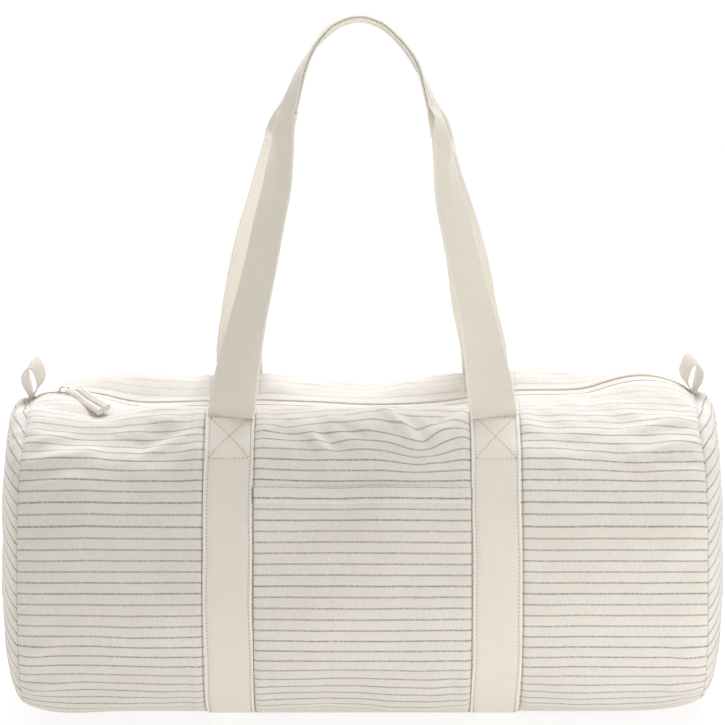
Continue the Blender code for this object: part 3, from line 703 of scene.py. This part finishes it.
def strap_section():
    """Round the edge of a flat strap as (across, height): along its face, then back along its underside."""
    half, thick = STRAP_WIDTH / 2, STRAP_THICK
    edge = 0.0008
    top = [(half - edge * 0.25, thick - edge * 0.75), (half, thick * 0.5)]
    places = [half - k for k in (edge, 0.0016, 0.0024, 0.0029, 0.0033, 0.0041, 0.008, 0.013)]
    face = [(a, thick) for a in [-k for k in places] + [0.0] + places[::-1]]
    left = [(-half, thick * 0.5), (-half + edge * 0.25, thick - edge * 0.75)]
    under = [(half - edge * 0.4, 0.0), (-half + edge * 0.4, 0.0)]
    return np.array(left + face + top + under)


def make_girth_strap(side, word):
    centre = side * STRAP_X
    inset = STRAP_WIDTH / 2 - STITCH_INSET
    s = np.linspace(HINGE_S, GIRTH - HINGE_S, 360)[:, None]
    section = strap_section()
    on_top = section[:, 1] > STRAP_THICK * 0.9
    x = centre + section[None, :, 0] + 0.0004 * np.sin(s * 31 + side) + 0.0003 * np.sin(s * 77)
    base = 0.35 * surface(centre, s + 0 * x) + 0.65 * surface(x, s)
    base[..., 0] = x
    out = spread(0 * x, *section_out(s))
    lift = section[:, 1] - 0.00045 * bump(abs(section[:, 0]) - inset, 0.0007) * on_top + 0.0002
    grid = base + out * lift[None, :, None]
    grid[..., 2] = np.maximum(grid[..., 2], STRAP_FLOOR)
    uv = spread(s + 0.37 * side, np.append(section[:, 0], section[0, 0])[None, :])
    part = grid_part(grid, uv, wrap=True, caps=True, flip=True)
    piece("girth_strap_" + word, [part], PLAIN, "bag", ["strap_" + word])
    rows = []
    for offset in (-inset, inset):
        k = int(np.argmin(abs(section[:, 0] - offset) + ~on_top))
        rows.append(stitch_part(grid[:, k], out[:, k]))
    near, far = (HINGE_S + edge for edge in BOX_STITCH)
    for first, last in ((near, far), (GIRTH - far, GIRTH - near)):
        corners = {"a": (-inset, first), "b": (inset, first), "c": (inset, last), "d": (-inset, last)}
        for start, stop in ("ab", "cd", "ac", "bd"):
            a, b = np.array(corners[start]), np.array(corners[stop])
            line = a + (b - a) * np.linspace(0, 1, 30)[:, None]
            path = surface(centre + line[:, 0], line[:, 1], STRAP_THICK + 0.0002)
            rows.append(stitch_part(path, surface_out(centre + line[:, 0], line[:, 1])))
    piece("stitches_strap_" + word, rows, COTTON_THREAD, "bag")


# Half of each handle's middle line as (x, height above the hinge line along the leaning plane)
HANDLE_ARCH = (
    (0.047, 0.2725), (0.039, 0.285), (0.029, 0.2972), (0.0165, 0.307), (0, 0.3113),
)
FRONT_HALF = (
    (0.0978, 0.034), (0.0913, 0.068), (0.0842, 0.1), (0.0703, 0.167), (0.0664, 0.2), (0.0638, 0.225), (0.0592, 0.243),
    (0.053, 0.26), *HANDLE_ARCH,
)
BACK_HALF = (
    (0.1005, 0.034), (0.0945, 0.068), (0.0898, 0.1), (0.0838, 0.133), (0.0776, 0.165), (0.0722, 0.2), (0.068, 0.225),
    (0.06, 0.243), (0.0534, 0.26), *HANDLE_ARCH,
)
HANDLE_TOP_Y = 0.0122
SHIFT = {-1: (-0.002, 0.17), 1: (-0.0026, 0.0)}  # how far a handle leans to the left, and from what height
HANDLE_ROWS = 320
PLY = 0.0017
SEAM_AT = 0.249  # from the hinge line along the strap to the end of the folded grip
FOLD_ZONE = (0.19, 0.264)  # where along the strap it goes over from flat to folded
# Along the handle: (distance, turn in degrees, fold in degrees)
GRIP_SHAPE = ((0.3, 84, 180), (0.32, 90, 180))
FRONT_SHAPE = (
    (0, 2, 0), (0.022, 15, 0), (0.057, 31, 0), (0.09, 41, 0), (0.14, 46, 1), (0.17, 46, 4), (0.205, 46, 16),
    (0.226, 45, 40), (0.237, 45, 100), (0.247, 44, 180), *GRIP_SHAPE,
)
BACK_SHAPE = (
    (0, 0, 0), (0.035, 8, 0), (0.07, 15, 0), (0.1, 21, 0), (0.133, 31, 0), (0.16, 41, 4), (0.2, 46, 18),
    (0.222, 46, 40), (0.235, 46, 100), (0.247, 45, 180), *GRIP_SHAPE,
)


def handle_path(facing, outline, extra, foot, s):
    """The handle's middle line, its rising direction and the way that it faces."""
    rise = outline[-1][1] + extra
    lean = math.asin((HINGE[1] - HANDLE_TOP_Y) / rise)
    up = np.array([0.0, -facing * math.sin(lean), math.cos(lean)])
    front = np.array([0.0, facing * math.cos(lean), math.sin(lean)])
    half = [foot + np.array([x, 0, 0]) + up * h * rise / outline[-1][1] for x, h in outline]
    half = np.array([
        surface(STRAP_X, s - facing * 0.003, STRAP_THICK * 0.55),
        surface(STRAP_X, s, STRAP_THICK * 0.62),
        foot + np.array([STRAP_X - 0.002, 0, 0]) + up * 0.0095 + front * 0.0006,
        *half,
    ])
    points = smooth(np.vstack([half * (-1, 1, 1), half[-2::-1]]), HANDLE_ROWS)
    height = points[:, 2] - HINGE[2]
    points[:, 0] += SHIFT[facing][0] * ease((height - SHIFT[facing][1]) / 0.08)
    if facing < 0:
        points[:, 0] -= 0.0018 * ease(-points[:, 0] / 0.02) * bump(height - 0.262, 0.034)
    return points, up, front


def fold_section(width, fold):
    """A strap's cross-section round its edge, as (across, face), with its outer half folded behind by this angle."""
    tight = math.pi * (PLY + 0.0002) / 4
    reach = tight + 0.0035 * math.sin(fold) ** 2
    u = np.unique(np.concatenate([np.linspace(-width / 2, width / 2, 53), np.linspace(-tight, tight, 9)]))
    angle = fold * np.clip((u + reach) / (2 * reach), 0.0, 1.0)
    mid = (angle[:-1] + angle[1:]) / 2
    run = np.diff(u) * np.where(mid > fold / 2, 1 - 0.42 * math.sin(fold) * ease((fold - 0.9) / 0.8), 1.0)
    line = np.zeros((len(u), 2))
    line[1:, 0] = np.cumsum(np.cos(mid) * run)
    line[1:, 1] = -np.cumsum(np.sin(mid) * run)
    share = fold / math.pi
    line += (-width / 2 + width / 4 * share, PLY / 2 * share)
    normal = np.stack([np.sin(angle), np.cos(angle)], axis=1)
    from_edge = np.minimum(u - u[0], u[-1] - u)
    half = PLY / 2 * np.minimum(1.0, 0.35 + from_edge / 0.0009 * 0.65) - 0.00022 * bump(from_edge - 0.003, 0.0008)
    section = np.vstack([line + normal * half[:, None], (line - normal * half[:, None])[::-1]])
    return section, np.concatenate([u, u[::-1] + width * 1.3])


def make_handle(facing, word, outline, extra, shape):
    foot = np.array([0.0, facing * HINGE[1], HINGE[2]])
    foot_s = HINGE_S if facing < 0 else GIRTH - HINGE_S
    points, up, front = handle_path(facing, outline, extra, foot, foot_s)
    run = lengths(points)
    along = unit(np.gradient(points, axis=0))
    away = np.minimum(run, run[-1] - run) - 0.003
    places, turns, folds = np.array(shape).T
    turn = np.radians(np.interp(away, places, turns))
    fold = np.radians(np.interp(away, places, folds))
    # The right riser turns further where it folds
    right = (run > run[-1] / 2) * ease((away - 0.17) / 0.05) * (1 - ease((away - 0.28) / 0.04))
    turn += math.radians(18.0) * right
    turn, fold = blurred(turn, 9), blurred(fold, 9)
    foot_out = np.array([0.0, *section_out(foot_s)])
    share = ease(away / 0.014)[:, None]
    face0 = unit(foot_out * (1 - share) + front * share)
    face0 = unit(face0 - along * np.sum(face0 * along, axis=1, keepdims=True))
    radial = facing * np.cross(along, face0)
    across = radial * np.cos(turn)[:, None] - face0 * np.sin(turn)[:, None]
    face = face0 * np.cos(turn)[:, None] + radial * np.sin(turn)[:, None]
    ripple = 0.0006 * np.sin(run * 43) + 0.0004 * np.sin(run * 97 + facing)
    sections = [fold_section(STRAP_WIDTH, f) for f in fold]
    middle, points = points, points - radial * (STRAP_WIDTH / 4 * fold / math.pi * np.cos(turn))[:, None]
    grid = np.stack([
        p + a * section[:, :1] + f * (section[:, 1:] + wave)
        for p, a, f, (section, _), wave in zip(points, across, face, sections, ripple * ease(away / 0.05))
    ])
    # Both edges run straight from the flat strap into the folded grip
    reach = np.einsum("rcd,rd->rc", grid - middle[:, None], radial)
    edges = np.stack([reach.min(axis=1), reach.max(axis=1)], axis=1)
    wanted = edges.copy()
    for half in (run < run[-1] / 2, run > run[-1] / 2):
        zone = np.flatnonzero(half & (away > FOLD_ZONE[0]) & (away < FOLD_ZONE[1]))
        place = (run[zone] - run[zone[0]]) / (run[zone[-1]] - run[zone[0]])
        wanted[zone] = edges[zone[0]] + (edges[zone[-1]] - edges[zone[0]]) * place[:, None]
    wanted = np.stack([blurred(edge, 33) for edge in wanted.T], axis=1)
    stretch = (wanted[:, 1] - wanted[:, 0]) / (edges[:, 1] - edges[:, 0])
    moved = wanted[:, :1] + (reach - edges[:, :1]) * stretch[:, None] - reach
    grid = grid + moved[..., None] * radial[:, None]
    width = np.append(sections[0][1], sections[0][1][0] + STRAP_WIDTH * 2.6)
    part = grid_part(grid, spread(run[:, None], width[None, :]), wrap=True, caps=True, flip=facing > 0)
    name = word + "_handle"
    handle = piece(name + "_strap", [part], HANDLE, None, [name])
    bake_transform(handle)
    rows = []
    reach = np.linspace(-STRAP_WIDTH / 4 + 0.001, STRAP_WIDTH / 4 - 0.001, 12)[:, None]
    for where in (SEAM_AT, run[-1] - SEAM_AT):
        k = int(np.argmin(abs(run - where)))
        for out in (face[k], -face[k]):
            line = points[k] + across[k] * reach + out * (PLY + 0.0001)
            rows.append(stitch_part(line, np.tile(out, (12, 1)), pitch=0.0026, length=0.0014))
    piece("stitches_" + name, rows, COTTON_THREAD, name)


# ---- zip


def make_zip():
    x = np.linspace(-SEAM_X + 0.0004, SEAM_X - 0.0004, 240)
    stitches = []
    for facing, word in ((-1, "front"), (1, "back")):
        y = facing * np.linspace(0.0004, TAPE_OUTER_Y, 30)
        grid = spread(x[:, None], y[None, :], zip_height(x[:, None], y[None, :]))
        part = grid_part(grid, grid[..., :2], flip=facing > 0)
        tape = piece("zip_cloth_" + word, [part], TAPE, "bag", ["zip_tape_" + word], thickness=0.0006)
        turns = int(2 * ZIP_HALF_LENGTH / COIL_PITCH)
        t = np.linspace(0, 1, turns * 8)
        angle = 2 * math.pi * t * turns
        coil_x = -ZIP_HALF_LENGTH + 2 * ZIP_HALF_LENGTH * t
        coil = spread(coil_x, facing * 0.0017 + 0.0014 * np.cos(angle),
                      zip_height(coil_x, 0.0) - 0.0018 + 0.0008 * np.sin(angle))
        tube = tube_part(coil, 0.00033, sides=4, guide=(0.0, 0.0, 1.0))
        piece("zip_teeth_" + word, [tube], NYLON, "bag", ["zip_coil_" + word])
        s = 0.0022 if facing < 0 else GIRTH - 0.0022
        across = np.linspace(-ZIP_HALF_LENGTH + 0.004, ZIP_HALF_LENGTH - 0.004, 200)
        stitches.append(stitch_part(surface(across, s), surface_out(across, s)))
    piece("stitches_zip", stitches, COTTON_THREAD, "bag")


def make_bindings():
    for side, word in ((-1, "left"), (1, "right")):
        x = side * np.linspace(SEAM_X - 0.011, SEAM_X - 0.0008, 8)[None, :]
        s = np.linspace(0, GIRTH, 300)[:, None]
        part = grid_part(surface(x, s, -0.0016), spread(s, x), flip=side < 0)
        tape = piece("seam_tape_" + word, [part], BINDING, "bag", ["seam_binding_" + word], thickness=0.0008)


# ---- tabs, slider, link and puller


# The loop's front edge as (towards the middle of the bag, up), from its outer foot round to its inner foot
TAB_LOOP = (
    (-0.0011, -0.002), (-0.0012, 0.0008), (-0.0027, 0.0062), (-0.0054, 0.0122), (-0.0068, 0.0178), (-0.0062, 0.023),
    (-0.0033, 0.027), (0.0004, 0.0286), (0.0034, 0.0262), (0.0056, 0.0208), (0.007, 0.015), (0.0062, 0.0096),
    (0.0032, 0.005), (0.0012, 0.0008), (0.0011, -0.002),
)
TAB_DROP = {"left": 0.0052, "right": 0.002}


def make_tabs():
    for side, word in ((-1, "left"), (1, "right")):
        hinge = JOINT_AT[word + "_tab_flex"]
        loop = smooth(TAB_LOOP, 110)
        along = unit(np.gradient(loop, axis=0))
        inward = np.stack([along[:, 1], -along[:, 0]], axis=1)
        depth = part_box("end_tab_" + word)[1].y
        y = np.linspace(-depth, depth, 17)
        outer, inner = [], []
        for at in y:
            share = at / depth
            for rows, inset in ((outer, 0.0), (inner, 0.0013)):
                flat = loop + inward * inset * (1 - 0.25 * abs(share) ** 6)
                risen = ease((flat[:, 1] + 0.002) / 0.02)
                lx = flat[:, 0] * (1 + 0.06 * share) + (0.0021 * share + 0.001) * risen
                lz = flat[:, 1] + 0.0026 * share * risen + 0.0005 * np.sin(flat[:, 0] * 300 + share)
                rows.append(spread(hinge[0] - side * lx, at + 0.0012 * risen * share, hinge[2] - TAB_DROP[word] + lz))
        grid = np.stack(outer + inner[::-1])
        grid = np.concatenate([grid, grid[:1]])
        around = np.concatenate([y, 2 * depth - y[::-1] + 0.01, [3 * depth]])
        uv = spread(np.linspace(0, 0.075, len(loop))[:, None], around[None, :])
        part = grid_part(np.swapaxes(grid, 0, 1), uv, flip=side > 0)
        tab = piece("tab_loop_" + word, [part], TAB, None, ["end_tab_" + word])
        tab.modifiers.new("weld", "WELD").merge_threshold = WELD
        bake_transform(tab)


def rounded_box(low, high, radius):
    """(points, faces, uv) of a box with rounded edges, from a bevelled cube."""
    low, high = np.array(low, float), np.array(high, float)
    bm = bmesh.new()
    bmesh.ops.create_cube(bm, size=1.0)
    bmesh.ops.scale(bm, vec=high - low, verts=bm.verts)
    bmesh.ops.bevel(bm, geom=bm.edges, offset=radius, segments=3, profile=0.5, affect="EDGES")
    bmesh.ops.translate(bm, vec=(low + high) / 2, verts=bm.verts)
    points = np.array([v.co for v in bm.verts])
    faces = [[v.index for v in f.verts] for f in bm.faces]
    bm.free()
    return points, faces, no_uv(faces)


def make_slider():
    low, high = (np.array(c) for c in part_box("zip_slider"))
    middle = (low + high) / 2
    parts = []
    outline = smooth([(-0.5, 0.0), (-0.48, 0.3), (-0.3, 0.44), (0.0, 0.4), (0.28, 0.46), (0.44, 0.5), (0.5, 0.36),
                      (0.46, 0.14), (0.5, 0.0)], 40)
    outline = np.vstack([outline, outline[-2:0:-1] * (1, -1)]) * (high[0] - low[0], high[1] - low[1])
    plate_low = TAPE_TOP + 0.001
    for bottom, top in ((plate_low, plate_low + 0.0013), (low[2], low[2] + 0.0012)):
        rows = []
        for inset, z in ((0.0007, bottom), (0.0, bottom + 0.00035), (0.0, top - 0.0004), (0.0009, top)):
            shrink = 1 - inset / 0.0055
            rows.append(spread(middle[0] + outline[:, 0] * shrink, outline[:, 1] * shrink, z))
        grid = np.stack(rows)
        parts.append(grid_part(grid, np.zeros((4, len(outline) + 1, 2)), wrap=True, caps=True))
    parts.append(rounded_box((low[0] + 0.0004, -0.0009, low[2] + 0.0006), (low[0] + 0.0064, 0.0009, plate_low + 0.0006),
                             0.0003))
    bail = smooth([(-0.0042, 0.0004), (-0.0039, 0.003), (-0.0027, 0.005), (0.0, 0.0057), (0.0027, 0.005),
                   (0.0039, 0.003), (0.0042, 0.0004)], 26)
    path = spread(middle[0] + bail[:, 0], 0.0, plate_low + 0.0009 + bail[:, 1])
    along = unit(np.gradient(path, axis=0))
    c, s = circle(12)
    sideways = np.array([[0.0, 1.0, 0.0]])
    grid = path[:, None] + rings(sideways, np.cross(along, -sideways), 0.0011 * c, 0.00055 * s)
    parts.append(grid_part(grid, np.zeros((len(path), 13, 2)), wrap=True, caps=True))
    piece("slider_metal", parts, NICKEL, "slider", ["zip_slider"], sharp=35)


# The slider's bail, the eye where the puller hangs on the link, the way that they lie and their sideways axis
WIRE, EYE = JOINT_AT["pull_lift"], JOINT_AT["puller_fold"]
LEVEL = unit((EYE - WIRE) * (1, 1, 0))
AXIS = np.array([-LEVEL[1], LEVEL[0], 0.0])
LINK_HALF = 0.0045
PULLER_LENGTH = 0.056


def make_link():
    corners = [(0.0, 0.4), (0.0, 0.82), (0.14, 1.0), (0.5, 0.98), (0.86, 0.94), (1.0, 0.76), (1.0, 0.0)]
    outline = corners + [(u, -v) for u, v in corners[-2::-1]] + [(0.0, 0.0)]
    loop = smooth([*outline, outline[0]], 56)[:-1]
    path = WIRE + (EYE - WIRE) * loop[:, :1] + AXIS * loop[:, 1:] * LINK_HALF
    piece("link_metal", [tube_part(path, 0.00065, closed=True)], NICKEL, "pull", ["zip_pull"])


def make_puller():
    t = np.linspace(0, 1, 70)
    away = PULLER_LENGTH * t
    # It lies straight, as steep as the slumped cloth lets it, and rolled a little onto one edge
    turn = math.radians(-3.0)
    flat = LEVEL * math.cos(turn) + AXIS * math.sin(turn)
    ground = EYE + flat * away[:, None]
    # The height of the cloth under it
    rest = surface(ground[:, 0], np.interp(-ground[:, 1], HALF_SECTION[:220, 0], SECTION_S[:220]))[:, 2]
    fall = min(float(np.min((EYE[2] - rest - 0.0034)[t > 0.6] / away[t > 0.6])), 0.4)
    ground[:, 2] = np.maximum(EYE[2] - fall * away, rest + 0.0025 * ease(t / 0.15))
    ground[:, 2] = np.convolve(np.pad(ground[:, 2], 6, "edge"), np.ones(13) / 13, "valid")
    along = unit(np.gradient(ground, axis=0))
    roll = np.radians(24.0) * ease(t / 0.5 + 0.1)
    wide = unit(np.cross(along, np.array([0, 0, 1.0])))
    wide = wide * np.sign(wide[:, :1])
    out = unit(np.cross(wide, along))
    out = out * np.sign(out[:, 2:])
    wide, out = (wide * np.cos(roll)[:, None] + out * np.sin(roll)[:, None],
                 out * np.cos(roll)[:, None] - wide * np.sin(roll)[:, None])
    middle = ground - along[0] * 0.0022
    parts, rows = [], []
    for side in (-1, 1):
        open_share = ease((away - 0.001) / 0.007)
        centre = side * (0.0016 + 0.00165 * open_share + 0.0002 * np.sin(t * 9 + side))
        half_wide = 0.0019 + 0.0013 * open_share
        half_high = 0.0017 + 0.00055 * open_share + 0.0001 * np.sin(t * 23 + 2 * side)
        path = middle + wide * centre[:, None] + out * (0.0006 + 0.0004 * np.sin(t * 2.6))[:, None]
        c, s = (np.sign(v) * abs(v) ** 0.72 for v in circle(24))
        grid = path[:, None] + rings(wide, out, half_wide[:, None] * c, half_high[:, None] * s)
        uv = spread(away[:, None], np.linspace(0, 0.016, 25)[None, :])
        parts.append(grid_part(grid, uv, wrap=True, caps=True))
        row = path + wide * (side * 0.0006) + out * (half_high * 0.98)[:, None]
        rows.append(stitch_part(row[7:-3], out[7:-3], pitch=0.0027, length=0.0019, radius=0.0002))
    turn = np.linspace(0, 2 * math.pi, 22)[:-1, None]
    hoop = 0.002 * (np.cos(turn) * along[0] + np.sin(turn) * np.array([0, 0, 1.0]))
    band = [EYE + AXIS * v + hoop for v in np.linspace(-0.0032, 0.0032, 9)]
    band_uv = spread(np.linspace(0, 0.0064, 9)[:, None], np.linspace(0, 0.0126, 22)[None, :])
    parts.append(grid_part(np.stack(band), band_uv, wrap=True, caps=True))
    piece("puller_cloth", parts, PLAIN, "puller", ["fabric_puller"])
    piece("stitches_puller", rows, COTTON_THREAD, "puller")


# ---- studio


def make_floor():
    mesh = bpy.data.meshes.new("floor")
    mesh.from_pydata([(-9, -9, 0), (9, -9, 0), (9, 9, 0), (-9, 9, 0)], [], [(0, 1, 2, 3)])
    white = Shading("floor_white")
    white.fill(white.shader, {"Base Color": FLOOR_GREY, "Roughness": 0.9, "Emission Color": WHITE,
                              "Emission Strength": 0.74})
    mesh.materials.append(white.material)
    floor = placed("floor", mesh)


def area_light(name, place, target, size, power, colour=(1.0, 1.0, 1.0)):
    data = bpy.data.lights.new(name, "AREA")
    data.energy = power
    data.size = size
    data.color = colour
    lamp = placed(name, data)
    lamp.location = place
    lamp.visible_camera = False
    direction = Vector(target) - Vector(place)
    lamp.rotation_euler = direction.to_track_quat("-Z", "Y").to_euler()


def make_studio():
    make_floor()
    world = bpy.data.worlds.new("studio")
    world.use_nodes = True
    sky = Nodes(world.node_tree)
    # White behind and above, and dimmer in front of the bag and to its right
    where = sky.add("SeparateXYZ", {0: sky.add("TexCoord").outputs["Generated"]})
    sideways = sky.calc("MULTIPLY_ADD", where.outputs[0], 0.7, 0.03)
    front = sky.calc("MULTIPLY_ADD", where.outputs[1], -1.6, sideways, use_clamp=True)
    strength = sky.calc("MULTIPLY_ADD", front, -0.7, 1.03)
    sky.fill(sky.tree.nodes["Background"], {"Color": WHITE, "Strength": strength})
    bpy.context.scene.world = world
    bpy.context.scene.view_settings.view_transform = "Standard"
    area_light("key", (0.66, -0.88, 0.2), (0.12, -0.1, 0.14), 0.45, 3.9)
    area_light("top", (0.15, 0.95, 2.1), (0.0, 0.0, 0.2), 1.2, 50.0, (0.86, 0.89, 1.0))


def make_camera():
    data = bpy.data.cameras.new("camera")
    data.lens = 156.07
    data.sensor_width = 36.0
    data.clip_end = 60.0
    camera = placed("camera", data)
    camera.location = (0.0, -2.5, 0.644)
    camera.rotation_euler = (math.radians(90.0 - 8.49), 0.0, 0.0)
    bpy.context.scene.camera = camera


make_camera()
make_studio()
make_body()
make_end(-1, "left")
make_end(1, "right")
make_pocket()
make_girth_strap(-1, "left")
make_girth_strap(1, "right")
make_handle(-1, "front", FRONT_HALF, 0.0, FRONT_SHAPE)
make_handle(1, "back", BACK_HALF, 0.001, BACK_SHAPE)
make_zip()
make_bindings()
make_tabs()
make_slider()
make_link()
make_puller()
